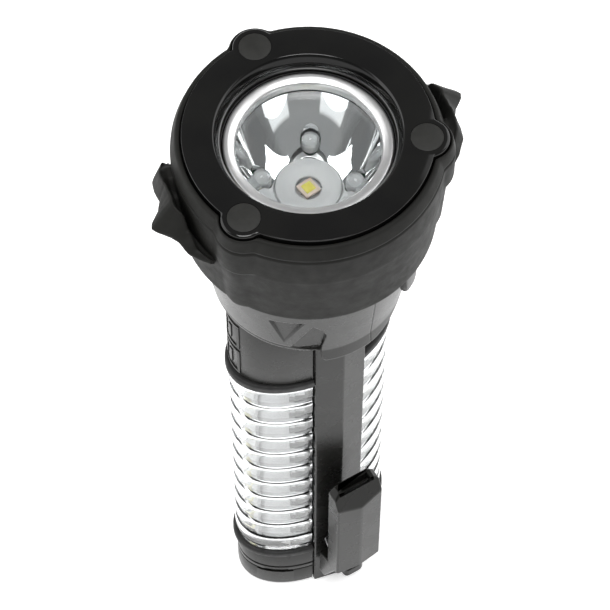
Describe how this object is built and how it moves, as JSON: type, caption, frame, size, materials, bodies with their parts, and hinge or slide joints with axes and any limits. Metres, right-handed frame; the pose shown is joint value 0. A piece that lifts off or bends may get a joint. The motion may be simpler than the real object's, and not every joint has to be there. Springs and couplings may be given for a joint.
{
  "type": "rescue flashlight",
  "caption": "Rugged hand torch with a round lamp head, glass striker wings, head magnets, clear ribbed side lamps and a strap cutter at its foot.",
  "frame": {"origin": "centre of the base face, on the body's axis", "axes": "+Z from the base up to the lamp's face, +X through the right side lamp, -Y through the front spine with the strap cutter"},
  "size_m": [0.0888, 0.072, 0.231],
  "materials": {
    "rubber": "matte, finely textured",
    "gloss_black": "gloss",
    "magnet": "matte",
    "chrome": "mirror",
    "lens_glass": "polished clear",
    "clear_plastic": "polished clear",
    "seal": "matte",
    "emitter": "phosphor",
    "white_plastic": "satin white",
    "aluminium": "machined",
    "circuit_board": "solder mask",
    "dark_plastic": "matte",
    "satin_plastic": "semi-gloss moulded",
    "steel": "brushed",
    "copper": "bright",
    "cell_wrap": "satin",
    "wire_red": "satin",
    "wire_black": "satin"
  },
  "bodies": {
    "torch": {"collar": "rubber", "striker_left": "rubber", "striker_right": "rubber", "bezel_plate": "gloss_black", "magnet_1": "magnet", "magnet_2": "magnet", "magnet_3": "magnet", "chrome_ring": "chrome", "reflector": "chrome", "lens": "lens_glass", "lens_seal": "seal", "upper_gasket": "seal", "lower_gasket": "seal", "main_led": "emitter", "led_ring": "white_plastic", "side_reflector_left": "white_plastic", "side_reflector_right": "white_plastic", "led_board": "aluminium", "heatsink": "aluminium", "aux_led_board": "circuit_board", "driver_board": "circuit_board", "control_board": "circuit_board", "top_contact_board": "circuit_board", "led_strip_left": "circuit_board", "led_strip_right": "circuit_board", "aux_led_1": "clear_plastic", "aux_led_2": "clear_plastic", "aux_led_3": "clear_plastic", "aux_led_4": "clear_plastic", "window_left": "clear_plastic", "window_right": "clear_plastic", "head_housing": "dark_plastic", "battery_tube": "dark_plastic", "tact_switch": "dark_plastic", "neck": "satin_plastic", "upper_sleeve": "satin_plastic", "front_spine": "satin_plastic", "back_spine": "satin_plastic", "base_ring": "satin_plastic", "cutter_guard": "satin_plastic", "cutter_blade": "steel", "back_screw_1": "steel", "back_screw_2": "steel", "cell_left_lower": "cell_wrap", "cell_left_upper": "cell_wrap", "cell_right_lower": "cell_wrap", "cell_right_upper": "cell_wrap", "wire_red": "wire_red", "wire_black": "wire_black"},
    "button": {"power_button": "rubber"},
    "cap": {"base_cap": "satin_plastic", "cap_seal": "seal", "bottom_contact_strap": "copper", "contact_spring_left": "steel", "contact_spring_right": "steel"}
  },
  "joints": [
    {"name": "button_press", "type": "slide", "parent": "torch", "child": "button", "axis": [0, -1, 0], "range_m": [0, 0.001], "stiffness_N_per_m": 2500},
    {"name": "cap_pull", "type": "slide", "parent": "torch", "child": "cap", "axis": [0, 0, -1], "range_m": [0, 0.04]}
  ]
}
